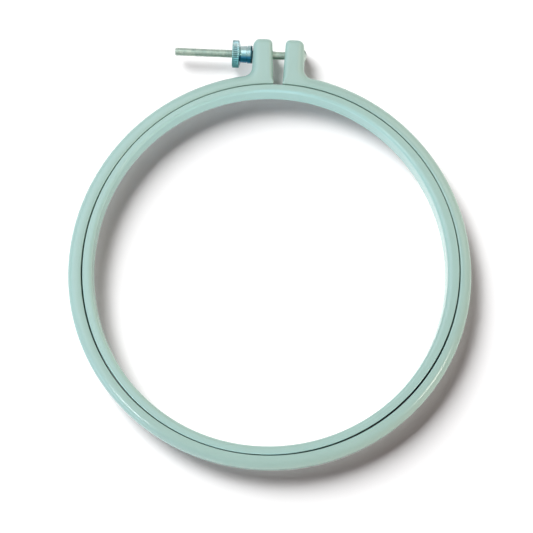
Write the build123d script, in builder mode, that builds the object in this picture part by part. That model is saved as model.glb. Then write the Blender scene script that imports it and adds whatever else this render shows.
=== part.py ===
"""Screw-tightened plastic embroidery hoop, about six inches across the cloth.

A closed inner ring lies inside a split outer ring. The outer ring ends in two moulded ears, and a long
machine screw with a knurled thumb nut draws the ears together, so that the outer ring grips the cloth
against the inner one. The hoop lies flat, and the frame's origin is the centre of its work opening,
halfway up the rings: Z is the rings' axis, the ears point along +Y, and the screw runs along X at half
height, with its head on the +X side and the thumb nut on the -X side. All lengths are in millimetres.
"""

from build123d import *
import os

os.makedirs("parts", exist_ok=True)

# Both rings
ring_height = 11.6
cloth_radius = 76.2  # middle of the seam between the rings: 6 inches across
seam_gap = 0.5  # radial room between the rings, where the cloth is gripped
seam_edge_chamfer = 0.3  # breaks both rings' edges along the seam
overrun = 1.0  # how far a cutting solid runs past the faces it cuts

# Inner ring
inner_ring_width = 3.65  # radial
opening_edge_chamfer = 1.0  # breaks the edges round the opening
inner_ring_outer_radius = cloth_radius - seam_gap / 2
inner_ring_inner_radius = inner_ring_outer_radius - inner_ring_width

# Outer ring
outer_ring_width = 5.0  # radial
rim_edge_radius = 2.9  # deep rounding all along the upper outer edge, ears included
underside_chamfer = 0.8  # breaks the lower outer edge, on which the hoop lies flat
outer_ring_inner_radius = cloth_radius + seam_gap / 2
outer_ring_outer_radius = outer_ring_inner_radius + outer_ring_width

# Clamp ears
screw_standoff = 9.2  # from the ring's outside to the screw's axis
ear_end_margin = 5.6  # from the screw's axis to the ears' far end
ear_thickness = 8.15  # along the screw, measured at the screw's axis
ear_corner_radius = 3.0  # outer corners, seen from above
ear_root_radius = 4.0  # concave blend from ear to ring, seen from above
gap_at_root = 4.4  # opening between the ears at the ring's inside
gap_at_screw = 5.2  # opening between the ears at the screw's axis
gap_edge_radius = 1.2  # rounding of the ears' edges along the gap
screw_axis_y = outer_ring_outer_radius + screw_standoff
ear_end_y = screw_axis_y + ear_end_margin
ear_face_x = gap_at_screw / 2 + ear_thickness  # the ears' outer faces, from the middle of the gap

# Clamp screw
thread_diameter = 3.5
screw_length = 52.8  # under the head
screw_end_chamfer = 0.45
head_diameter = 5.6
head_height = 2.2
head_crown = 0.9  # height of the domed part of the head
slot_width = 0.9
slot_depth = 1.2
hole_clearance = 0.2  # radial, between the thread and the ears' holes
head_clearance = 0.25  # radial, between the head and its seat
head_seat_depth = 1.2  # how deep the head's seat is sunk into the ear
seat_clearance = 0.1  # left at the head's and the nut's bearing faces
head_underside_x = ear_face_x - head_seat_depth + seat_clearance
screw_end_x = head_underside_x - screw_length
head_top_x = head_underside_x + head_height
crown_radius = ((head_diameter / 2) ** 2 + head_crown**2) / (2 * head_crown)

# Thumb nut
nut_rim_diameter = 11.5
nut_rim_thickness = 2.85
nut_rim_chamfer = 0.4
nut_back_run = 0.7  # length of the cone that leads from the rim down to the neck
nut_neck_diameter = 6.8  # where the neck leaves the rim's cone
nut_neck_flare = 0.2  # radial growth of the neck on its way to the groove
nut_neck_length = 2.5
nut_groove_width = 0.25
nut_groove_depth = 0.3
nut_collar_diameter = 7.5
nut_collar_length = 2.1
nut_collar_chamfer = 0.35
nut_bore_clearance = 0.05  # radial, round the thread
nut_mouth_chamfer = 0.4
knurl_count = 40
knurl_groove_side = 0.42  # side of the square tool that cuts one groove, half its diagonal deep
nut_face_x = -ear_face_x - seat_clearance  # bearing face, towards the ear

# Inner ring: a closed ring with broken edges
with BuildPart() as inner_ring:
    with BuildSketch(Plane.XZ) as inner_section:
        with Locations((inner_ring_inner_radius, 0)):
            Rectangle(inner_ring_width, ring_height, align=(Align.MIN, Align.CENTER))
        chamfer(inner_section.vertices().group_by(Axis.X)[0], length=opening_edge_chamfer)
        chamfer(inner_section.vertices().group_by(Axis.X)[-1], length=seam_edge_chamfer)
    revolve(axis=Axis.Z)
inner_ring.part.label = "inner_ring"

# Outer ring: one moulding, split between two ears
with BuildPart() as outer_ring:
    with BuildSketch(Plane.XY) as outline:
        Circle(outer_ring_outer_radius)
        with Locations((0, outer_ring_inner_radius)):
            Rectangle(
                2 * ear_face_x,
                ear_end_y - outer_ring_inner_radius,
                align=(Align.CENTER, Align.MIN),
            )
        levels = outline.vertices().filter_by_position(
            Axis.Y, outer_ring_inner_radius, ear_end_y + overrun
        ).group_by(Axis.Y)
        fillet(levels[-1], radius=ear_corner_radius)
        fillet(levels[-2], radius=ear_root_radius)
        Circle(outer_ring_inner_radius, mode=Mode.SUBTRACT)
    extrude(amount=ring_height / 2, both=True)
    flat_faces = outer_ring.faces().filter_by(Plane.XY)
    rim_edges = ShapeList(edge for face in flat_faces for edge in face.outer_wire().edges())
    seam_edges = ShapeList(edge for face in flat_faces for edge in face.inner_wires().edges())
    fillet(rim_edges.group_by(Axis.Z)[-1], radius=rim_edge_radius)
    chamfer(rim_edges.group_by(Axis.Z)[0], length=underside_chamfer)
    chamfer(seam_edges, length=seam_edge_chamfer)

    # the split, a little wider at the ears' ends than at the ring
    gap_growth = (gap_at_screw - gap_at_root) / (screw_axis_y - outer_ring_inner_radius)
    gap_start_y = outer_ring_inner_radius - overrun
    gap_finish_y = ear_end_y + overrun
    gap_start_half = (gap_at_root - gap_growth * overrun) / 2
    gap_finish_half = (gap_at_screw + gap_growth * (gap_finish_y - screw_axis_y)) / 2
    with BuildSketch(Plane.XY) as split_gap:
        Polygon(
            (-gap_start_half, gap_start_y),
            (gap_start_half, gap_start_y),
            (gap_finish_half, gap_finish_y),
            (-gap_finish_half, gap_finish_y),
            align=None,
        )
    extrude(amount=ring_height / 2, both=True, mode=Mode.SUBTRACT)
    gap_faces = outer_ring.faces().filter_by(
        lambda face: face.geom_type == GeomType.PLANE
        and abs(face.normal_at().X) > abs(face.normal_at().Y)
        and abs(face.center().X) < gap_at_screw
    )
    gap_edges = ShapeList(edge for face in gap_faces for edge in face.edges())
    past_seam_y = outer_ring_inner_radius + seam_edge_chamfer
    fillet(gap_edges.filter_by(lambda edge: edge.center().Y > past_seam_y), radius=gap_edge_radius)

    # clearance holes for the screw, and the sunk seat of its head
    with BuildSketch(Plane.YZ.offset(-ear_face_x - overrun)) as screw_hole:
        with Locations((screw_axis_y, 0)):
            Circle(thread_diameter / 2 + hole_clearance)
    extrude(amount=2 * (ear_face_x + overrun), mode=Mode.SUBTRACT)
    with BuildSketch(Plane.YZ.offset(ear_face_x - head_seat_depth)) as head_seat:
        with Locations((screw_axis_y, 0)):
            Circle(head_diameter / 2 + head_clearance)
    extrude(amount=head_seat_depth + overrun, mode=Mode.SUBTRACT)
outer_ring.part.label = "outer_ring"

# Both turned pieces are drawn as half profiles above the screw's axis
screw_plane = Plane(origin=(0, screw_axis_y, 0), x_dir=(1, 0, 0), z_dir=(0, 0, 1))
screw_axis = Axis(screw_plane.origin, screw_plane.x_dir)

# Clamp screw: slotted pan head and a shank at the thread's full diameter
with BuildPart() as clamp_screw:
    with BuildSketch(screw_plane):
        with BuildLine():
            Polyline(
                (head_top_x, 0),
                (screw_end_x, 0),
                (screw_end_x, thread_diameter / 2 - screw_end_chamfer),
                (screw_end_x + screw_end_chamfer, thread_diameter / 2),
                (head_underside_x, thread_diameter / 2),
                (head_underside_x, head_diameter / 2),
                (head_top_x - head_crown, head_diameter / 2),
            )
            RadiusArc((head_top_x - head_crown, head_diameter / 2), (head_top_x, 0), crown_radius)
        make_face()
    revolve(axis=screw_axis)
    with BuildSketch(Plane.YZ.offset(head_top_x - slot_depth)) as slot:
        with Locations((screw_axis_y, 0)):
            Rectangle(slot_width, head_diameter + overrun)
    extrude(amount=slot_depth + overrun, mode=Mode.SUBTRACT)
clamp_screw.part.label = "clamp_screw"

# Thumb nut: knurled rim, short flared neck, fine groove and bearing collar
collar_start_x = nut_face_x - nut_collar_length
groove_start_x = collar_start_x - nut_groove_width
neck_start_x = groove_start_x - nut_neck_length
rim_back_x = neck_start_x - nut_back_run
rim_front_x = rim_back_x - nut_rim_thickness
nut_bore_radius = thread_diameter / 2 + nut_bore_clearance
rim_radius = nut_rim_diameter / 2
neck_radius = nut_neck_diameter / 2
collar_radius = nut_collar_diameter / 2
with BuildPart() as thumb_nut:
    with BuildSketch(screw_plane):
        with BuildLine():
            Polyline(
                (rim_front_x, nut_bore_radius + nut_mouth_chamfer),
                (rim_front_x, rim_radius - nut_rim_chamfer),
                (rim_front_x + nut_rim_chamfer, rim_radius),
                (rim_back_x - nut_rim_chamfer, rim_radius),
                (rim_back_x, rim_radius - nut_rim_chamfer),
                (neck_start_x, neck_radius),
                (groove_start_x, neck_radius + nut_neck_flare),
                (groove_start_x, neck_radius + nut_neck_flare - nut_groove_depth),
                (collar_start_x, neck_radius + nut_neck_flare - nut_groove_depth),
                (collar_start_x, collar_radius),
                (nut_face_x - nut_collar_chamfer, collar_radius),
                (nut_face_x, collar_radius - nut_collar_chamfer),
                (nut_face_x, nut_bore_radius + nut_mouth_chamfer),
                (nut_face_x - nut_mouth_chamfer, nut_bore_radius),
                (rim_front_x + nut_mouth_chamfer, nut_bore_radius),
                close=True,
            )
        make_face()
    revolve(axis=screw_axis)
    with BuildSketch(Plane.YZ.offset(rim_front_x)) as knurl:
        with Locations((screw_axis_y, 0)):
            with PolarLocations(rim_radius, knurl_count):
                Rectangle(knurl_groove_side, knurl_groove_side, rotation=45)
    extrude(amount=nut_rim_thickness, mode=Mode.SUBTRACT)
thumb_nut.part.label = "thumb_nut"

for piece in (inner_ring, outer_ring, clamp_screw, thumb_nut):
    export_step(piece.part, f"parts/{piece.part.label}.step")
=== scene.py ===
"""Screw-tightened plastic embroidery hoop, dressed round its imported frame.

A closed inner ring lies inside a split outer ring, whose two ears are drawn together by a long zinc-plated
screw and a knurled thumb nut. Lengths are in metres, in the frame's own axes: Z is the rings' axis, the ears
point along +Y and the screw runs along X.
"""

import math

import bmesh
import bpy
import numpy as np
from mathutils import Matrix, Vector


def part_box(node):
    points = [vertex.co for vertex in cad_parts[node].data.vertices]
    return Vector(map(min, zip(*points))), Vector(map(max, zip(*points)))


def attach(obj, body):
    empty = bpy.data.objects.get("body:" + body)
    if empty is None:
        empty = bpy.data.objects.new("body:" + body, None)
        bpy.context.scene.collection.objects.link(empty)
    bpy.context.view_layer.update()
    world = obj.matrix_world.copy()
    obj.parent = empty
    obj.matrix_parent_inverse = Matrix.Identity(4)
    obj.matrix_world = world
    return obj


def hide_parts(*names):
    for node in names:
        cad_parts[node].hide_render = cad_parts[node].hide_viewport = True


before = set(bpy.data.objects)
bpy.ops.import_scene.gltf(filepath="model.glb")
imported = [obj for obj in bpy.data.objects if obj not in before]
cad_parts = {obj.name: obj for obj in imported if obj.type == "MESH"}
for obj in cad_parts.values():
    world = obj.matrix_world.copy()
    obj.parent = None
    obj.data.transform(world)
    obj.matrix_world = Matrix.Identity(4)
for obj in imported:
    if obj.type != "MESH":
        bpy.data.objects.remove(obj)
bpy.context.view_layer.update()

# Inner ring: a closed hoop moulded in pale sea-green plastic, a plain wall with softly broken edges. The
# cloth is laid over it before the outer ring closes round it. Use has drawn it slightly out of round.
inner_low, inner_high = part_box("inner_ring")
ring_top = inner_high.z
ring_bottom = inner_low.z
inner_ring_outer_radius = inner_high.x
inner_ring_width = 0.00365
opening_edge_radius = 0.0015
inner_seam_edge_radius = 0.00035
ring_crown = 0.00013  # how far both rings' upper faces fall away towards their edges
ring_spokes = 720
corner_steps = 8
merge_distance = 1e-7  # points that lie closer together than this are one

# how far the ring and the wall of its opening are out of round: crests, height, direction of one crest
inner_ring_waves = ((1, 0.00030, 11), (2, 0.00033, 48), (3, 0.00032, -18))
opening_waves = ((1, 0.00018, 135), (2, 0.00046, 93), (3, 0.00027, -20), (4, 0.00011, -34))
waves_full_radius = 0.082  # from here outwards the waves fade, so that the ears keep their shape
waves_end_radius = 0.090


def rounded_section(corners, radii, steps, side_shares=(0.04, 0.25, 0.5, 0.75, 0.96)):
    """Closed outline of a rectangle with rounded corners, as an (n, 2) array.

    corners and radii go round anticlockwise from the upper right. Each corner becomes the quarter circle
    that touches its two sides, and side_shares places points along the straight side that follows it.
    """
    corners, radii = np.array(corners, float), np.array(radii, float)[:, None]
    middle = corners.mean(axis=0)
    centres = corners - np.sign(corners - middle) * radii
    angles = np.radians(90 * np.arange(4)[:, None] + np.linspace(0, 90, steps + 1))
    arcs = centres[:, None] + radii[:, None] * np.stack([np.cos(angles), np.sin(angles)], axis=-1)
    shares = np.array(side_shares)[:, None]
    sides = arcs[:, None, -1] * (1 - shares) + np.roll(arcs[:, 0], -1, axis=0)[:, None] * shares
    return np.concatenate([arcs, sides], axis=1).reshape(-1, 2)


def woven_quads(rows, columns, rows_close=False, columns_close=False):
    """Corner numbers of the quads of a grid of points, numbered row by row and closed on itself or not."""
    row = np.arange(rows if rows_close else rows - 1)[:, None]
    column = np.arange(columns if columns_close else columns - 1)[None, :]
    next_row, next_column = (row + 1) % rows, (column + 1) % columns
    quads = np.stack(
        [row * columns + column, row * columns + next_column,
         next_row * columns + next_column, next_row * columns + column], axis=-1
    )
    return quads.reshape(-1, 4)


def add_piece(name, points, faces, material, sharp_deg=60.0):
    """A smooth-shaded object at the origin, its doubles merged and its faces turned outwards."""
    mesh = bpy.data.meshes.new(name)
    mesh.from_pydata(points.reshape(-1, 3), [], faces)
    work = bmesh.new()
    work.from_mesh(mesh)
    bmesh.ops.remove_doubles(work, verts=work.verts, dist=merge_distance)
    bmesh.ops.recalc_face_normals(work, faces=work.faces)
    work.to_mesh(mesh)
    work.free()
    mesh.shade_smooth()
    mesh.set_sharp_from_angle(angle=math.radians(sharp_deg))
    mesh.materials.append(material)
    piece = bpy.data.objects.new(name, mesh)
    bpy.context.collection.objects.link(piece)
    return piece


def new_material(name):
    """A material with its node tree and its Principled shader."""
    material = bpy.data.materials.new(name)
    material.use_nodes = True
    return material, material.node_tree, material.node_tree.nodes["Principled BSDF"]


def patchiness(tree, place, scale, detail):
    """Share between nothing and one that wanders over the piece, in smaller patches the larger the scale."""
    texture = tree.nodes.new("ShaderNodeTexNoise")
    texture.inputs["Scale"].default_value = scale
    texture.inputs["Detail"].default_value = detail
    tree.links.new(place, texture.inputs["Vector"])
    return texture.outputs["Fac"]


def spread(tree, value, start, end, low=0.0, high=1.0, eased=False):
    """The value carried from the range start to end onto the range low to high, and held at both ends."""
    node = tree.nodes.new("ShaderNodeMapRange")
    if eased:
        node.interpolation_type = "SMOOTHSTEP"
    for name, number in (("From Min", start), ("From Max", end), ("To Min", low), ("To Max", high)):
        node.inputs[name].default_value = number
    tree.links.new(value, node.inputs["Value"])
    return node.outputs["Result"]


def feed(tree, value, socket):
    """Leads another node's output, the three numbers of a colour or a plain number into the socket."""
    if isinstance(value, bpy.types.NodeSocket):
        tree.links.new(value, socket)
    else:
        socket.default_value = (*value, 1) if isinstance(value, tuple) else value


def mixed(tree, share, first, second, kind="RGBA"):
    """The first colour at no share and the second at full share, or numbers where the kind is FLOAT."""
    node = tree.nodes.new("ShaderNodeMix")
    node.data_type = kind
    tree.links.new(share, node.inputs["Factor"])
    feed(tree, first, node.inputs["A"])
    feed(tree, second, node.inputs["B"])
    return node.outputs["Result"]


def add_bump(tree, shader, height, strength, depth):
    """Raises the surface's shading by up to the depth, in metres, where the height is one."""
    bump = tree.nodes.new("ShaderNodeBump")
    bump.inputs["Strength"].default_value = strength
    bump.inputs["Distance"].default_value = depth
    tree.links.new(height, bump.inputs["Height"])
    tree.links.new(bump.outputs["Normal"], shader.inputs["Normal"])


def hoop_plastic(name, colour, deep_colour, roughness, seed):
    """Semi-gloss moulded plastic, faintly cloudy in colour, uneven in gloss and with a fine orange peel."""
    material, tree, shader = new_material(name)
    shader.inputs["IOR"].default_value = 1.49
    place = tree.nodes.new("ShaderNodeTexCoord")
    shift = tree.nodes.new("ShaderNodeMapping")
    shift.inputs["Location"].default_value = (seed, 2 * seed, 0)
    tree.links.new(place.outputs["Object"], shift.inputs["Vector"])
    place = shift.outputs["Vector"]

    clouds = spread(tree, patchiness(tree, place, scale=90.0, detail=4.0), 0.2, 0.8)
    tree.links.new(mixed(tree, clouds, deep_colour, colour), shader.inputs["Base Color"])
    smears = patchiness(tree, place, scale=240.0, detail=1.0)
    gloss = spread(tree, smears, 0.3, 0.7, roughness - 0.02, roughness + 0.03)
    tree.links.new(gloss, shader.inputs["Roughness"])
    add_bump(tree, shader, patchiness(tree, place, scale=620.0, detail=2.0), strength=0.5, depth=0.000012)
    return material


def out_of_round(points, waves):
    """The points moved in or out from the rings' axis by slow waves round it, which fade out along the ears.

    A wave is its number of crests, its height in metres and the direction of one crest in degrees. The first
    two columns of the points are x and y.
    """
    radius = np.hypot(points[..., 0], points[..., 1])
    azimuth = np.arctan2(points[..., 1], points[..., 0])
    shift = sum(
        height * np.cos(crests * (azimuth - math.radians(crest_deg))) for crests, height, crest_deg in waves
    )
    fade = np.clip((waves_end_radius - radius) / (waves_end_radius - waves_full_radius), 0, 1)
    moved = points.copy()
    moved[..., :2] *= (1 + shift * fade / radius)[..., None]
    return moved


sea_green, deep_sea_green = (0.408, 0.582, 0.520), (0.396, 0.570, 0.509)
inner_plastic = hoop_plastic("inner_plastic", sea_green, deep_sea_green, roughness=0.22, seed=0.3)


def inner_ring_surface():
    """The rounded section, its height lowered by the crown times the square of its distance from the middle,
    turned about Z and then drawn out of round. The outer wall's waves give way to the opening's with the
    square of the distance from the outer wall.
    """
    inner_radius = inner_ring_outer_radius - inner_ring_width
    section = rounded_section(
        [(inner_ring_outer_radius, ring_top), (inner_radius, ring_top),
         (inner_radius, ring_bottom), (inner_ring_outer_radius, ring_bottom)],
        [inner_seam_edge_radius, opening_edge_radius, opening_edge_radius, inner_seam_edge_radius],
        steps=corner_steps,
    )
    off_middle = (section[:, 0] - inner_ring_outer_radius) / inner_ring_width * 2 + 1
    section[:, 1] *= 1 - ring_crown / ring_top * off_middle**2
    turn = np.linspace(0, 2 * math.pi, ring_spokes, endpoint=False)[:, None]
    height = np.broadcast_to(section[:, 1], (ring_spokes, len(section)))
    points = np.stack([section[:, 0] * np.cos(turn), section[:, 0] * np.sin(turn), height], axis=-1)
    opening_share = ((inner_ring_outer_radius - section[:, 0]) / inner_ring_width)[:, None] ** 2
    outside, opening = out_of_round(points, inner_ring_waves), out_of_round(points, opening_waves)
    points = (1 - opening_share) * outside + opening_share * opening
    return points, woven_quads(*height.shape, rows_close=True, columns_close=True)


inner_ring = add_piece("inner_ring_moulding", *inner_ring_surface(), inner_plastic)
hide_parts("inner_ring")
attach(inner_ring, "inner_hoop")

# Outer ring: one moulding in the same plastic, a band with a deeply rounded outside that is split between
# two ears. Its outline in plan is carried down its height, drawn in along the top and bottom edges.
outer_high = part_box("outer_ring")[1]
screw_low, screw_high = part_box("clamp_screw")
outer_radius = outer_high.x
seam_gap = 0.00042  # between the two rings before either is drawn out of round
outer_inner_radius = inner_ring_outer_radius + seam_gap
ear_end_y = outer_high.y
screw_y = (screw_low.y + screw_high.y) / 2
ear_side_x = 0.0108
gap_side_at_screw = (0.0026, 0.0021)  # distance from the middle: the +X ear, then the -X ear

# each ear's distances from the middle: outer side at the screw and the end, gap side at the ring and the end
head_ear = (0.01095, 0.0105, 0.0022, 0.0029)
nut_ear = (0.0107, 0.0105, 0.0016, 0.0027)
ear_outer_corner = 0.0028
ear_gap_corner = 0.0021
ear_root = 0.0040
gap_root = 0.0005
rim_rounding = 0.0033
corner_rounding = 0.0028
end_rounding = 0.0020
gap_rounding = 0.0019
seam_rounding = 0.00035
underside_rounding = 0.0009  # the most that any edge is rounded underneath
outer_seam_waves = ((1, 0.00033, -8), (2, 0.00027, 41), (3, 0.00037, -25))
outer_rim_waves = ((1, 0.00040, -79), (2, 0.00010, 26), (3, 0.00041, -31))
gap_knee_share = 0.86  # how far down the gap its deep rounding reaches, before it narrows to the seam's
side_steps = 10  # along each straight stretch of the outline
bend_steps = 14
band_steps = 340  # along half of the ring
rounding_steps = 10  # round each edge, from the flat face to the side
side_ledge_share = 0.06  # of the height, from the side's straight part to its two added points


def straight(start, end, steps, rounding, outward_left):
    """Points on a line, each with its outward normal and its rounding: rows of x, y, nx, ny, r."""
    start, end = np.array(start), np.array(end)
    share = np.linspace(0, 1, steps + 1)[:, None]
    along = (end - start) / np.linalg.norm(end - start)
    normal = np.array([-along[1], along[0]]) * (1 if outward_left else -1)
    normal = np.broadcast_to(normal, (steps + 1, 2))
    rounded = rounding[0] + share * (rounding[1] - rounding[0])
    return np.hstack([start + share * (end - start), normal, rounded])


def bend(centre, radius, from_deg, to_deg, steps, rounding, hollow=False):
    """Points on an arc, with the same five columns. A hollow arc's outward normal points to its centre."""
    share = np.linspace(0, 1, steps + 1)[:, None]
    angle = np.radians(from_deg + share * (to_deg - from_deg))
    spoke = np.hstack([np.cos(angle), np.sin(angle)])
    normal = -spoke if hollow else spoke
    rounded = rounding[0] + share * (rounding[1] - rounding[0])
    return np.hstack([centre + radius * spoke, normal, rounded])


def joined(*stretches):
    """The stretches end to end, without the point that each shares with the one before."""
    return np.vstack([stretches[0]] + [stretch[1:] for stretch in stretches[1:]])


def both_halves(path):
    """The path from the +X ear and the mirrored one from the -X ear, joined at the far side of the ring."""
    return np.vstack([path(*head_ear), path(*nut_ear)[-2::-1] * [-1, 1, -1, 1, 1]])


def slant_corner(apex, into, out, radius):
    """Centre of the circle of that radius that touches both sides of a corner, and its two angles."""
    into, out = np.array(into) / np.linalg.norm(into), np.array(out) / np.linalg.norm(out)
    turn = math.acos(float(into @ out))
    turn_side = np.sign(into[0] * out[1] - into[1] * out[0])
    inward = np.array([-into[1], into[0]]) * turn_side
    centre = np.array(apex) - into * radius * math.tan(turn / 2) + inward * radius
    from_angle = math.degrees(math.atan2(-inward[1], -inward[0]))
    return centre, from_angle, from_angle + turn_side * math.degrees(turn)


def outer_path(side_x, side_x_at_end, gap_at_root, gap_at_end):
    """From the middle of the +X ear's end round its outer side and the ring's outside to the far side."""
    end, rim = (end_rounding, end_rounding), (rim_rounding, rim_rounding)
    middle_x = (side_x_at_end + gap_at_end) / 2
    lean = (side_x - side_x_at_end, screw_y - ear_end_y)
    centre, start_deg, end_deg = slant_corner((side_x_at_end, ear_end_y), (1, 0), lean, ear_outer_corner)
    end_face = straight((middle_x, ear_end_y), (centre[0], ear_end_y), side_steps, end, True)
    corner = bend(centre, ear_outer_corner, start_deg, end_deg, bend_steps, (end_rounding, corner_rounding))
    widening = (corner_rounding, rim_rounding)
    upper_side = straight(corner[-1, :2], (side_x, screw_y), side_steps, widening, True)
    root_x = side_x + ear_root
    root_centre = np.array([root_x, math.sqrt((outer_radius + ear_root) ** 2 - root_x**2)])
    root_deg = math.degrees(math.atan2(root_centre[1], root_centre[0]))
    lower_side = straight((side_x, screw_y), (side_x, root_centre[1]), side_steps, rim, True)
    root = bend(root_centre, ear_root, 180, 180 + root_deg, bend_steps, rim, hollow=True)
    outside = bend(np.zeros(2), outer_radius, root_deg, -90, band_steps, rim)
    return joined(end_face, corner, upper_side, lower_side, root, outside)


def inner_path(side_x, side_x_at_end, gap_at_root, gap_at_end):
    """From the same point round the ear's gap side and the ring's inner wall, in as many points."""
    end, gap = (end_rounding, end_rounding), (gap_rounding, gap_rounding)
    seam = (seam_rounding, seam_rounding)
    middle_x = (side_x_at_end + gap_at_end) / 2
    lean = (gap_at_root - gap_at_end, outer_inner_radius - ear_end_y)
    centre, start_deg, end_deg = slant_corner((gap_at_end, ear_end_y), (-1, 0), lean, ear_gap_corner)
    end_face = straight((middle_x, ear_end_y), (centre[0], ear_end_y), side_steps, end, False)
    corner = bend(centre, ear_gap_corner, start_deg, end_deg, bend_steps, (end_rounding, gap_rounding))
    root_x = gap_at_root + gap_root
    root_centre = np.array([root_x, math.sqrt((outer_inner_radius + gap_root) ** 2 - root_x**2)])
    root_deg = math.degrees(math.atan2(root_centre[1], root_centre[0]))
    gap_foot = root_centre - [gap_root, 0]
    knee = corner[-1, :2] + gap_knee_share * (gap_foot - corner[-1, :2])
    upper_side = straight(corner[-1, :2], knee, side_steps, gap, False)
    lower_side = straight(knee, gap_foot, side_steps, (gap_rounding, seam_rounding), False)
    root = bend(root_centre, gap_root, 180, 180 + root_deg, bend_steps, seam)
    wall = bend(np.zeros(2), outer_inner_radius, root_deg, -90, band_steps, seam, hollow=True)
    return joined(end_face, corner, upper_side, lower_side, root, wall)


def outer_ring_surface():
    """Closed sections carried along the band from one ear's end to the other.

    Each section goes down the outer path's side, across the underside, up the inner path's side and back
    across the top. A side's point lies in from its path by r (1 - cos a) and down from the top by
    r (1 - sin a), with a from a right angle to zero, and the lower half does so upwards with a smaller r.
    Where the inner path follows the seam, the top's edge is lower by the crown.
    """
    angle = np.radians(np.linspace(90, 0, rounding_steps + 1))
    inset = np.concatenate([1 - np.cos(angle), [0, 0], (1 - np.cos(angle))[::-1]])[:, None]
    drop = np.concatenate([1 - np.sin(angle), [1, 1], (1 - np.sin(angle))[::-1]])[:, None]
    upper = (np.arange(len(drop)) < len(drop) / 2)[:, None]
    ledge = side_ledge_share * (ring_top - ring_bottom)

    def side(path):
        x, y, nx, ny, rounding = path.T
        seam_share = np.clip((gap_rounding - rounding) / (gap_rounding - seam_rounding), 0, 1)
        rounding = np.where(upper, rounding, np.minimum(rounding, underside_rounding))
        top = ring_top - ring_crown * seam_share
        level = np.where(upper, top - rounding * drop, ring_bottom + rounding * drop)
        level[rounding_steps + 1] -= ledge
        level[rounding_steps + 2] += ledge
        return np.stack([x - nx * rounding * inset, y - ny * rounding * inset, level], axis=-1)

    outside = side(out_of_round(both_halves(outer_path), outer_rim_waves))
    inside = side(out_of_round(both_halves(inner_path), outer_seam_waves))
    shares = np.array([0.05, 0.2, 0.4, 0.6, 0.8, 0.95])[:, None, None]  # of the way across the band
    under = outside[-1] * (1 - shares) + inside[-1] * shares
    over = inside[0] * (1 - shares) + outside[0] * shares
    over[..., 2] = outside[0][:, 2] + (inside[0] - outside[0])[:, 2] * (1 - shares[..., 0]) ** 2
    sections = np.concatenate([outside, under, inside[::-1], over]).transpose(1, 0, 2)
    return sections, woven_quads(*sections.shape[:2], columns_close=True)


outer_plastic = hoop_plastic("outer_plastic", sea_green, deep_sea_green, roughness=0.175, seed=0.0)
outer_ring = add_piece("outer_ring_moulding", *outer_ring_surface(), outer_plastic)

# the screw's clearance hole through both ears, its mouths softly flared, and the sunk seat of its head
hole_radius = 0.00195
head_seat_radius = 0.0032
head_seat_x = 0.00955
mouth_flare = 0.00025
cutter_reach = 0.0135
hole_spokes = 48


def turned(profile, spokes):
    """A profile of (x, r) points turned about the screw's axis, r being the distance from that axis."""
    turn = np.linspace(0, 2 * math.pi, spokes, endpoint=False)[None, :]
    along, radius = profile[:, :1], profile[:, 1:]
    along = np.broadcast_to(along, (len(profile), spokes))
    return np.stack([along, screw_y + radius * np.cos(turn), radius * np.sin(turn)], axis=-1)


def cut_away(piece, points, faces, sharp_deg=30.0):
    """Takes the closed form of these points and faces out of the piece."""
    tool = add_piece("cutter", points, faces, piece.data.materials[0])
    cut = piece.modifiers.new("cut", "BOOLEAN")
    cut.object = tool
    cut.solver = "EXACT"
    shape = bpy.data.meshes.new_from_object(piece.evaluated_get(bpy.context.evaluated_depsgraph_get()))
    piece.modifiers.clear()
    piece.data = shape
    shape.set_sharp_from_angle(angle=math.radians(sharp_deg))
    bpy.data.objects.remove(tool)


def ear_hole_surface():
    """The hole turned about the screw's axis, plain in each ear, wider at the mouths and the head's seat."""
    wide, seat_wide = hole_radius + mouth_flare, head_seat_radius + mouth_flare
    head_gap, nut_gap = gap_side_at_screw
    profile = np.array([
        (-cutter_reach, 0), (-cutter_reach, wide), (-ear_side_x, wide),
        (mouth_flare - ear_side_x, hole_radius), (-nut_gap - mouth_flare, hole_radius), (-nut_gap, wide),
        (head_gap, wide), (head_gap + mouth_flare, hole_radius), (head_seat_x, hole_radius),
        (head_seat_x, head_seat_radius), (ear_side_x - mouth_flare, head_seat_radius),
        (ear_side_x, seat_wide), (cutter_reach, seat_wide), (cutter_reach, 0),
    ])
    points = turned(profile, hole_spokes)
    return points, woven_quads(*points.shape[:2], columns_close=True)


cut_away(outer_ring, *ear_hole_surface())
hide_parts("outer_ring")
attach(outer_ring, "outer_hoop")

# Clamp screw: a long bright zinc-plated machine screw. A slotted pan head sits sunk in the +X ear, and the
# whole shank has a rolled right-hand thread that runs out through both ears and far past the nut.
thread_radius = 0.00175
thread_pitch = 0.0006
thread_depth = 0.00020
thread_lead = 1.01  # how many pitches before the tip the first row starts
tip_chamfer = 0.00045
tip_x = screw_low.x
thread_spokes = 40
seat_clearance = 0.0001
head_height = 0.0022
head_underside_x = head_seat_x + seat_clearance
head_radius = (screw_high.y - screw_low.y) / 2
head_top_x = head_underside_x + head_height
head_crown = 0.0009
head_edge_radius = 0.00015
slot_half_width = 0.00045
slot_depth = 0.0012
slot_floor_x = head_top_x - slot_depth
slot_turn_deg = 35.0  # from upright towards the ears' ends
slot_reach_share = 1.2  # of the head's radius
head_spokes = 72
crown_points = 16
head_edge_points = 5


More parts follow.
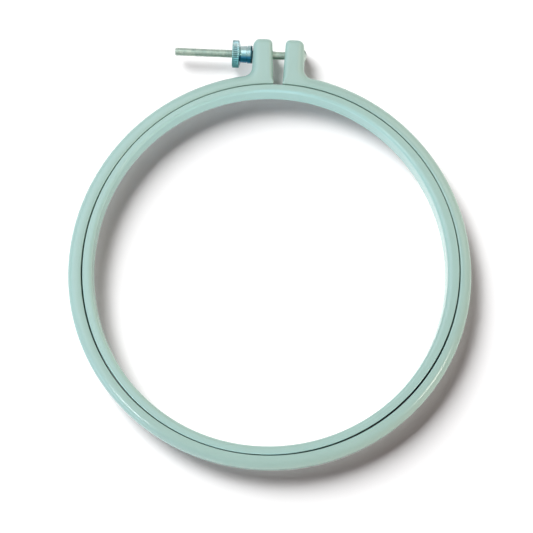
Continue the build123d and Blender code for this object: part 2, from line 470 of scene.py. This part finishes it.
def zinc_plate(name, pale, deep, roughness):
    """Bright zinc plating: patches of a paler and a bluer film, and an uneven polish."""
    material, tree, shader = new_material(name)
    shader.inputs["Metallic"].default_value = 1.0
    place = tree.nodes.new("ShaderNodeTexCoord").outputs["Object"]
    patches = spread(tree, patchiness(tree, place, scale=420.0, detail=3.0), 0.35, 0.65)
    tree.links.new(mixed(tree, patches, deep, pale), shader.inputs["Base Color"])
    polish = patchiness(tree, place, scale=1500.0, detail=4.0)
    gloss = spread(tree, polish, 0.0, 1.0, roughness - 0.08, roughness + 0.08)
    tree.links.new(gloss, shader.inputs["Roughness"])
    return material


def thread_surface():
    """A thread profile carried along a right-hand helix.

    A grid row is one point of the profile and climbs a pitch in a turn, so the last column meets the first
    one a turn further on. Rows past either end fold flat onto that end, which a cone narrows and a disc
    closes.
    """
    spokes = thread_spokes
    shares = np.array([0, 0.125, 0.28, 0.4375, 0.5625, 0.6875, 0.845])  # of the pitch, crest to crest
    cut = thread_depth * np.array([0, 0, 0.5, 1, 1, 1, 0.5])
    end_x = head_underside_x + tip_chamfer
    turns = math.ceil((end_x - tip_x) / thread_pitch) + 2
    start = tip_x - thread_pitch * thread_lead + thread_pitch * (np.arange(turns)[:, None] + shares).ravel()
    angle = 2 * math.pi * np.arange(spokes) / spokes
    x = np.clip(start[:, None] + thread_pitch * angle / (2 * math.pi), tip_x, end_x)
    cone = thread_radius - tip_chamfer + np.minimum(x - tip_x, end_x - x)
    radius = np.minimum(thread_radius - np.tile(cut, turns)[:, None], cone)
    grid = np.stack([x, screw_y + radius * np.cos(angle), radius * np.sin(angle)], axis=-1)
    centres = np.broadcast_to([[[tip_x, screw_y, 0]], [[end_x, screw_y, 0]]], (2, spokes, 3))
    rows = len(start)
    column = np.arange(spokes)
    row = np.arange(rows - 1)[:, None]
    turn_on = np.where(column == spokes - 1, len(shares), 0)
    here = row * spokes + column
    above = (row + 1) * spokes + column
    beside = np.minimum(row + turn_on, rows - 1) * spokes + (column + 1) % spokes
    beside_above = np.minimum(row + 1 + turn_on, rows - 1) * spokes + (column + 1) % spokes
    flanks = np.stack([here, beside, beside_above, above], axis=-1).reshape(-1, 4)
    next_column = (column + 1) % spokes
    discs = [
        np.stack([ring * spokes + column, ring * spokes + next_column,
                  centre * spokes + next_column, centre * spokes + column], axis=-1)
        for ring, centre in ((0, rows), (rows - 1, rows + 1))
    ]
    return np.concatenate([grid, centres]), np.concatenate([flanks, *discs])


def screw_head_surface():
    """Flat underside, short cylinder and shallow crown, turned about the screw's axis."""
    crown_radius = (head_radius**2 + head_crown**2) / (2 * head_crown)
    half_angle = math.asin(head_radius / crown_radius)
    sweep = np.linspace(half_angle, 0, crown_points)
    crown = np.stack(
        [head_top_x - crown_radius * (1 - np.cos(sweep)), crown_radius * np.sin(sweep)], axis=-1
    )
    edge = np.radians(np.linspace(180, 90, head_edge_points))
    underside_edge = np.stack(
        [head_underside_x + head_edge_radius * (1 + np.cos(edge)),
         head_radius - head_edge_radius * (1 - np.sin(edge))], axis=-1
    )
    profile = np.concatenate([[(head_underside_x, 0)], underside_edge, crown])
    points = turned(profile, head_spokes)
    return points, woven_quads(*points.shape[:2], columns_close=True)


def slot_surface():
    """A long block across the head, turned about the screw's axis."""
    reach = head_radius * slot_reach_share
    along = math.radians(slot_turn_deg)
    lengthwise = np.array([0, math.sin(along), math.cos(along)])
    crosswise = np.array([0, math.cos(along), -math.sin(along)])
    corners = [
        np.array([x, screw_y, 0]) + lengthwise * reach * end + crosswise * slot_half_width * side
        for x in (slot_floor_x, head_top_x + reach) for end, side in ((-1, -1), (1, -1), (1, 1), (-1, 1))
    ]
    sides = [(0, 1, 5, 4), (1, 2, 6, 5), (2, 3, 7, 6), (3, 0, 4, 7)]
    return np.array(corners), [(0, 1, 2, 3), (4, 5, 6, 7), *sides]


screw_zinc = zinc_plate("screw_zinc", pale=(0.48, 0.55, 0.48), deep=(0.36, 0.45, 0.40), roughness=0.34)
screw_thread = add_piece("clamp_screw_thread", *thread_surface(), screw_zinc, sharp_deg=35.0)
screw_head = add_piece("clamp_screw_head", *screw_head_surface(), screw_zinc)
cut_away(screw_head, *slot_surface())
for part in (screw_thread, screw_head):
    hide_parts("clamp_screw")
    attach(part, "screw")

# Thumb nut: turned from bar and zinc-plated, its wide rim knurled for the fingers. A cone leads from the
# rim to a short neck, and a fine groove parts the neck from the collar that bears on the ear.
nut_low, nut_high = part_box("thumb_nut")
nut_front_x = nut_low.x
nut_face_x = nut_high.x
nut_rim_radius = 0.00575
nut_rim_thickness = 0.00285
nut_cone_run = 0.0007
nut_neck_radius = 0.0034
nut_neck_flare = 0.0002
nut_collar_length = 0.0021
nut_collar_radius = 0.00375
nut_groove_width = 0.00025
nut_groove_radius = 0.0033
nut_mouth_radius = 0.0022
nut_bore_radius = 0.0018
nut_mouth_depth = 0.0004
rim_edge_break = 0.00035
small_edge_break = 0.00008
fine_edge_break = 0.0001
collar_edge_break = 0.0003
cone_foot_radius = 0.0004
groove_floor_radius = 0.00004
profile_spacing = 0.0003
knurl_count = 40
knurl_spokes = 8  # to each knurl
knurl_depth = 0.00028
knurl_flat_share = 0.25  # of each pitch, the crest left between two grooves
knurl_start, knurl_full = 0.0001, 0.0005  # from the rim's side, where a groove starts and is at full depth

# where the painted dark reflection starts and is full: across the nut and across its neck, from the screw's
# axis, and along the neck from the rim; and where the painted shade does, along the collar from its face
dark_reflection_across_nut = (0.0035, -0.0060)
dark_reflection_across_neck = (-0.0014, -0.0024)
dark_reflection_along_neck = (0.0, 0.0006)
shade_along_collar = (-0.0009, -0.0006)


def eased(corners, radii, steps=6):
    """A closed outline whose corners are replaced by arcs of those radii."""
    corners = np.array(corners)
    arcs = []
    neighbours = zip(np.roll(corners, 1, 0), corners, np.roll(corners, -1, 0), radii)
    for before, corner, after, radius in neighbours:
        centre, from_deg, to_deg = slant_corner(corner, corner - before, after - corner, radius)
        arcs.append(bend(centre, radius, from_deg, to_deg, steps, (0, 0))[:, :2])
    return np.vstack(arcs)


def filled_out(outline, spacing):
    """The closed outline with points added so that none stand further apart than the spacing."""
    closed = np.vstack([outline, outline[:1]])
    run = np.concatenate([[0], np.cumsum(np.linalg.norm(np.diff(closed, axis=0), axis=1))])
    marks = np.unique(np.concatenate([run[:-1], np.arange(0, run[-1], spacing)]))
    return np.stack([np.interp(marks, run, closed[:, 0]), np.interp(marks, run, closed[:, 1])], axis=-1)


def thumb_nut_surface():
    """The eased profile turned about the screw's axis, with V grooves sunk in the rim's outside.

    A groove's depth falls in a straight line from its middle to its edges, and along the axis it fades out
    over the rounded edges of the rim.
    """
    rim_back_x = nut_front_x + nut_rim_thickness
    neck_x = rim_back_x + nut_cone_run
    collar_x = nut_face_x - nut_collar_length
    groove_x = collar_x - nut_groove_width
    corners = [
        (nut_front_x, nut_mouth_radius), (nut_front_x, nut_rim_radius), (rim_back_x, nut_rim_radius),
        (neck_x, nut_neck_radius), (groove_x, nut_neck_radius + nut_neck_flare),
        (groove_x, nut_groove_radius), (collar_x, nut_groove_radius), (collar_x, nut_collar_radius),
        (nut_face_x, nut_collar_radius), (nut_face_x, nut_mouth_radius),
        (nut_face_x - nut_mouth_depth, nut_bore_radius), (nut_front_x + nut_mouth_depth, nut_bore_radius),
    ]
    radii = [
        small_edge_break, rim_edge_break, rim_edge_break, cone_foot_radius, fine_edge_break,
        groove_floor_radius, groove_floor_radius, fine_edge_break, collar_edge_break,
        small_edge_break, small_edge_break, small_edge_break,
    ]
    outline = filled_out(eased(corners, radii), profile_spacing)
    spokes = knurl_spokes * knurl_count
    points = turned(outline, spokes)
    middle_x = (nut_front_x + rim_back_x) / 2
    edge_room = nut_rim_thickness / 2 - np.abs(outline[:, 0] - middle_x)
    depth = np.clip((edge_room - knurl_start) / (knurl_full - knurl_start), 0, 1)
    depth = depth * (outline[:, 1] > nut_rim_radius - rim_edge_break)
    phase = np.abs((np.arange(spokes) / knurl_spokes + 0.5) % 1 - 0.5)
    groove = np.clip(1 - phase / (0.5 - knurl_flat_share / 2), 0, 1)
    shrink = 1 - knurl_depth * depth[:, None] * groove / outline[:, 1:]
    points[..., 1] = screw_y + (points[..., 1] - screw_y) * shrink
    points[..., 2] *= shrink
    return points, woven_quads(*points.shape[:2], rows_close=True, columns_close=True)


def worked_out(tree, operation, *values):
    """The result of a Math node whose inputs are other nodes' outputs or plain numbers."""
    node = tree.nodes.new("ShaderNodeMath")
    node.operation = operation
    for value, socket in zip(values, node.inputs):
        feed(tree, value, socket)
    return node.outputs["Value"]


def add_painted_reflection_and_shade(material, lower_side_dark_reflection, neck_underside_dark_reflection, collar_end_shade):
    """Paints a dark reflection over the film's colour towards one side of the nut, most of all on that side
    of the neck, and paints shade at the collar's end, where it meets the ear.
    """
    tree = material.node_tree
    apart = tree.nodes.new("ShaderNodeSeparateXYZ")
    tree.links.new(tree.nodes.new("ShaderNodeTexCoord").outputs["Object"], apart.inputs["Vector"])

    def grown(axis, origin, start_and_full):
        start, full = start_and_full
        return spread(tree, apart.outputs[axis], origin + start, origin + full, eased=True)

    lower_side_share = grown("Y", screw_y, dark_reflection_across_nut)
    neck_lower_share = grown("Y", screw_y, dark_reflection_across_neck)
    behind_rim = grown("X", nut_front_x + nut_rim_thickness, dark_reflection_along_neck)
    neck_underside_share = worked_out(tree, "MULTIPLY", neck_lower_share, behind_rim)
    # painted shade where the collar's end bears on the ear
    collar_end_shade_share = grown("X", nut_face_x, shade_along_collar)
    colour_socket = tree.nodes["Principled BSDF"].inputs["Base Color"]
    film = colour_socket.links[0].from_socket
    # over the film's own colour: the painted dark reflection, stronger on the neck, then the painted shade
    for colour, share in ((lower_side_dark_reflection, lower_side_share), (neck_underside_dark_reflection, neck_underside_share), (collar_end_shade, collar_end_shade_share)):
        film = mixed(tree, share, film, colour)
    tree.links.new(film, colour_socket)


def add_lathe_marks(material, depth):
    """Fine rings round the screw's axis, left by the turning tool."""
    tree = material.node_tree
    rings = tree.nodes.new("ShaderNodeTexWave")
    rings.bands_direction = "X"
    rings.inputs["Scale"].default_value = 2400.0
    rings.inputs["Distortion"].default_value = 1.5
    tree.links.new(tree.nodes.new("ShaderNodeTexCoord").outputs["Object"], rings.inputs["Vector"])
    add_bump(tree, tree.nodes["Principled BSDF"], rings.outputs["Fac"], strength=0.4, depth=depth)


nut_zinc = zinc_plate("nut_zinc", pale=(0.42, 0.52, 0.51), deep=(0.24, 0.38, 0.40), roughness=0.2)
# the nut's film, darkened towards -Y by painted dark reflection and at the collar's end by painted shade
add_painted_reflection_and_shade(
    nut_zinc, lower_side_dark_reflection=(0.09, 0.27, 0.28), neck_underside_dark_reflection=(0.02, 0.16, 0.27), collar_end_shade=(0.02, 0.07, 0.09)
)
add_lathe_marks(nut_zinc, depth=0.000008)
thumb_nut = add_piece("thumb_nut_turned", *thumb_nut_surface(), nut_zinc, sharp_deg=40.0)
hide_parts("thumb_nut")
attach(thumb_nut, "nut")

# Floor: a plain white table top that the hoop lies on. The camera and the hoop's gloss see it as the lamps
# light it, with the hoop's shadow, while the light that it throws back at the hoop is an even glow.
floor_reach = 3.0
floor_colour = (1.0, 0.80, 0.86)
floor_glow_strength = 1.35
floor_fill_colour = (1.0, 0.5, 0.4)  # a faint warm light of its own, which tells only in the shadow
floor_fill_strength = 0.008
dark_starts, dark_is_full = 0.0006, 0.0018  # inwards from either edge of the band under the rings

floor_mesh = bpy.data.meshes.new("floor")
floor_corners = floor_reach * np.array([(-1, -1, 0), (1, -1, 0), (1, 1, 0), (-1, 1, 0)], float)
floor_corners[:, 2] = ring_bottom
floor_mesh.from_pydata(floor_corners, [], [(0, 1, 2, 3)])
floor = bpy.data.objects.new("floor", floor_mesh)
bpy.context.collection.objects.link(floor)

floor_white = bpy.data.materials.new("floor_white")
floor_white.use_nodes = True
floor_tree = floor_white.node_tree
floor_nodes, floor_links = floor_tree.nodes, floor_tree.links
floor_nodes.remove(floor_nodes["Principled BSDF"])

# under the rings themselves the table's glow and fill fade out, a painted shade, so that no light comes up
# through the seam
opening_radius = inner_ring_outer_radius - inner_ring_width
band_middle, band_half_width = (outer_radius + opening_radius) / 2, (outer_radius - opening_radius) / 2
floor_plan = floor_nodes.new("ShaderNodeVectorMath")
floor_plan.operation = "MULTIPLY"
floor_plan.inputs[1].default_value = (1, 1, 0)
floor_links.new(floor_nodes.new("ShaderNodeTexCoord").outputs["Object"], floor_plan.inputs[0])
floor_radius = floor_nodes.new("ShaderNodeVectorMath")
floor_radius.operation = "LENGTH"
floor_links.new(floor_plan.outputs["Vector"], floor_radius.inputs[0])
past_middle = worked_out(floor_tree, "SUBTRACT", floor_radius.outputs["Value"], band_middle)
off_band_middle = worked_out(floor_tree, "ABSOLUTE", past_middle)
dark_edge = (band_half_width - dark_is_full, band_half_width - dark_starts)
floor_lit = spread(floor_tree, off_band_middle, *dark_edge)
glow_level = worked_out(floor_tree, "MULTIPLY", floor_lit, floor_glow_strength)
fill_level = worked_out(floor_tree, "MULTIPLY", floor_lit, floor_fill_strength)

floor_glow = floor_nodes.new("ShaderNodeEmission")
feed(floor_tree, glow_level, floor_glow.inputs["Strength"])
floor_matt = floor_nodes.new("ShaderNodeBsdfDiffuse")
feed(floor_tree, floor_colour, floor_matt.inputs["Color"])
floor_fill = floor_nodes.new("ShaderNodeEmission")
feed(floor_tree, floor_fill_colour, floor_fill.inputs["Color"])
feed(floor_tree, fill_level, floor_fill.inputs["Strength"])
floor_both = floor_nodes.new("ShaderNodeAddShader")
floor_links.new(floor_matt.outputs["BSDF"], floor_both.inputs[0])
floor_links.new(floor_fill.outputs["Emission"], floor_both.inputs[1])
floor_ray = floor_nodes.new("ShaderNodeLightPath").outputs
floor_seen = worked_out(floor_tree, "MAXIMUM", floor_ray["Is Camera Ray"], floor_ray["Is Glossy Ray"])
floor_either = floor_nodes.new("ShaderNodeMixShader")
floor_links.new(floor_seen, floor_either.inputs["Fac"])
floor_links.new(floor_glow.outputs["Emission"], floor_either.inputs[1])
floor_links.new(floor_both.outputs["Shader"], floor_either.inputs[2])
floor_links.new(floor_either.outputs["Shader"], floor_nodes["Material Output"].inputs["Surface"])
floor_mesh.materials.append(floor_white)

# Light: a plain soft studio. A faint dome, brighter low down, is cool on the left and warmer on the right,
# and plain white to the camera and in the hoop's gloss. Two lamps for the floor alone throw the shadow, and
# smaller ones light the hoop alone.
sky_fade = 3.0  # the power with which the dome fades upwards
sky_overhead, sky_low_down = 0.06, 0.9
sky_cool, sky_warm = (0.40, 0.44, 0.47), (1.00, 0.92, 0.80)
sky_side_reach = 0.8  # of the way to either side, where the tint is full

world = bpy.data.worlds.new("studio")
bpy.context.scene.world = world
world.use_nodes = True
sky_tree = world.node_tree
sky_split = sky_tree.nodes.new("ShaderNodeSeparateXYZ")
feed(sky_tree, sky_tree.nodes.new("ShaderNodeTexCoord").outputs["Generated"], sky_split.inputs["Vector"])
sky_depth = spread(sky_tree, sky_split.outputs["Z"], 0.0, 1.0, low=1.0, high=0.0)
sky_share = worked_out(sky_tree, "POWER", sky_depth, sky_fade)
sky_level = spread(sky_tree, sky_share, 0.0, 1.0, sky_overhead, sky_low_down)
sky_across = spread(sky_tree, sky_split.outputs["X"], -sky_side_reach, sky_side_reach)
sky_tint = mixed(sky_tree, sky_across, sky_cool, sky_warm)
sky_ray = sky_tree.nodes.new("ShaderNodeLightPath").outputs
sky_seen = sky_ray["Is Camera Ray"]
for other_ray in ("Is Glossy Ray", "Is Transmission Ray"):
    sky_seen = worked_out(sky_tree, "MAXIMUM", sky_seen, sky_ray[other_ray])
sky = sky_tree.nodes["Background"]
feed(sky_tree, mixed(sky_tree, sky_seen, sky_tint, (1, 1, 1)), sky.inputs["Color"])
feed(sky_tree, mixed(sky_tree, sky_seen, sky_level, 1.0, "FLOAT"), sky.inputs["Strength"])


def gathered(name, *pieces):
    """A collection of those pieces, for the lamps that light or shade nothing else."""
    collection = bpy.data.collections.new(name)
    for piece in pieces:
        collection.objects.link(piece)
    return collection


def soft_lamp(name, azimuth_deg, elevation_deg, distance, width, watts, colour, lit, shading=None):
    """Square lamp facing the hoop's middle from that direction, azimuth counted from +X towards +Y.

    It lights the pieces of one collection, and where shading is given, only those pieces throw its shadow.
    """
    azimuth, elevation = math.radians(azimuth_deg), math.radians(elevation_deg)
    lamp = bpy.data.lights.new(name, "AREA")
    lamp.size = width
    lamp.energy = watts
    lamp.color = colour
    holder = bpy.data.objects.new(name, lamp)
    holder.location = (
        distance * math.cos(elevation) * math.cos(azimuth),
        distance * math.cos(elevation) * math.sin(azimuth),
        distance * math.sin(elevation),
    )
    holder.rotation_euler = (0, math.radians(90) - elevation, azimuth)
    holder.light_linking.receiver_collection = lit
    if shading:
        holder.light_linking.blocker_collection = shading
    bpy.context.collection.objects.link(holder)


only_floor = gathered("only_floor", floor)
only_hoop = gathered("only_hoop", inner_ring, outer_ring, screw_thread, screw_head, thumb_nut)
only_rings = gathered("only_rings", inner_ring, outer_ring)
only_inner_ring = gathered("only_inner_ring", inner_ring)
only_outer_ring = gathered("only_outer_ring", outer_ring)

# both lamps of the floor stand at one place. The second one's light passes the screw and the nut, so that
# their shadows stay paler than the rings'.
shadow_place = (133, 42, 12.0, 6.6)  # azimuth, elevation, distance, width
shadow_colour = (0.955, 1.21, 1.13)
soft_lamp("shadow_lamp", *shadow_place, 1470.0, shadow_colour, only_floor)
soft_lamp("thin_shadow_lamp", *shadow_place, 978.0, shadow_colour, only_floor, only_rings)

# azimuth and elevation in degrees, distance and width in metres, watts, colour, and what each one lights
soft_lamp("back_left_lamp", 148, 52, 0.75, 0.75, 3.2, (0.91, 1.0, 1.10), only_hoop)
soft_lamp("back_right_lamp", 40, 45, 0.9, 0.6, 1.6, (1.05, 1.0, 0.90), only_hoop)
soft_lamp("left_lamp", -162, 28, 1.0, 0.7, 1.2, (0.80, 1.0, 1.10), only_hoop)
soft_lamp("top_lamp", -90, 85, 1.0, 0.6, 0.3, (1.0, 1.0, 1.0), only_hoop)
soft_lamp("low_front_lamp", -90, 9, 1.0, 0.36, 3.8, (0.55, 1.0, 1.35), only_inner_ring)
soft_lamp("low_left_lamp", -145, 9, 1.0, 0.5, 1.3, (0.55, 1.0, 1.35), only_outer_ring)
soft_lamp("low_right_lamp", -35, 9, 1.0, 0.5, 0.6, (1.30, 0.80, 0.50), only_hoop)
soft_lamp("front_right_lamp", -20, 48, 1.0, 0.2, 2.0, (1.08, 1.0, 0.86), only_hoop)
soft_lamp("front_left_lamp", -143, 50, 1.0, 0.18, 1.7, (0.97, 1.0, 1.04), only_hoop)

# Camera: above the near side of the hoop, a little off the vertical, as the photograph was taken. The ears
# stand at the top of the picture.
camera_distance = 0.5804
camera_tilt_deg = 11.1
camera_roll_deg = 2.3
camera_aim = (-0.0014, 0.0006, 0.0)
camera_data = bpy.data.cameras.new("camera")
camera_data.lens = 96.45
camera_data.sensor_width = 36.0
camera = bpy.data.objects.new("camera", camera_data)
tilt = math.radians(camera_tilt_deg)
camera.location = (
    camera_aim[0],
    camera_aim[1] - camera_distance * math.sin(tilt),
    camera_aim[2] + camera_distance * math.cos(tilt),
)
camera.rotation_mode = "XYZ"
camera.rotation_euler = (tilt, 0, 0)
camera.rotation_euler.rotate_axis("Z", math.radians(camera_roll_deg))
bpy.context.collection.objects.link(camera)
bpy.context.scene.camera = camera
bpy.context.scene.view_settings.view_transform = "Standard"
